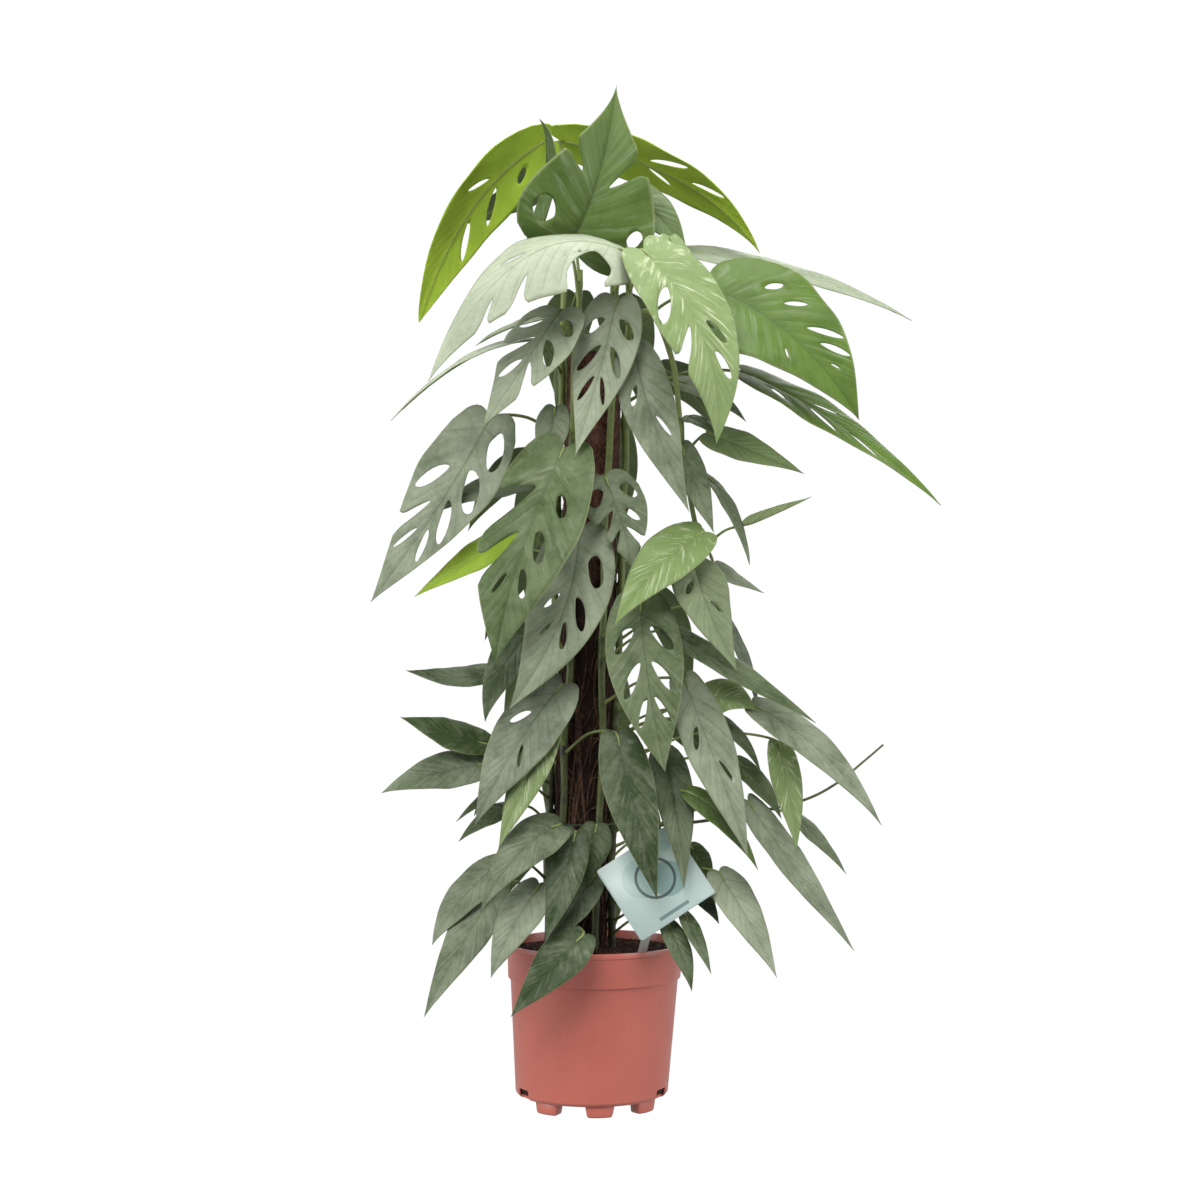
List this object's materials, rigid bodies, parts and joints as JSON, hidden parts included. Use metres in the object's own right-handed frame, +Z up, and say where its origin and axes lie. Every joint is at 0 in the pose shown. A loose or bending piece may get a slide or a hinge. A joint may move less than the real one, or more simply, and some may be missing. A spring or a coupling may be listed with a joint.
{
  "type": "potted cebu blue pothos",
  "caption": "Climbing pothos with long slit leaves on a felt-wrapped coir pole, in a round terracotta-coloured nursery pot with a square plant label.",
  "frame": {"origin": "on the floor under the middle of the pot rim, on the flat pad in the middle of the foot", "axes": "+Z up the plant, -Y out of the side with the label, +X to the right when seen from there"},
  "size_m": [0.5945, 0.3233, 1.0841],
  "materials": {
    "pot_plastic": "satin terracotta-coloured plastic",
    "soil": "dark potting soil with bark and fibres",
    "tube_plastic": "dark plastic tube",
    "coir": "wrapped coir felt",
    "tie": "green coated tie",
    "card": "mint printed card",
    "stake": "pale plastic stake",
    "leaf": "silvery blue-green leaves and stems",
    "lime_leaf": "lime green young leaf",
    "young_leaf": "pale green young leaf"
  },
  "bodies": {
    "root": {"pot": "pot_plastic", "soil": "soil", "pole_core": "tube_plastic", "pole_wrap": "coir", "stem_tie": "tie", "label_card": "card", "label_stake": "stake", "vine_front_left": "leaf", "vine_front_right": "leaf", "vine_left": "leaf", "vine_right": "leaf", "vine_back_left": "leaf", "vine_back_right": "leaf", "leaf_lime_left": "lime_leaf", "leaf_lime_right": "lime_leaf", "leaf_lime_side": "lime_leaf", "leaf_light_variegated": "young_leaf", "leaf_light_upper": "young_leaf", "leaf_light_front": "young_leaf", "leaf_rolled": "young_leaf", "leaf_light_inner": "young_leaf", "leaf_light_hanging": "young_leaf", "leaf_light_low": "young_leaf"}
  },
  "joints": []
}
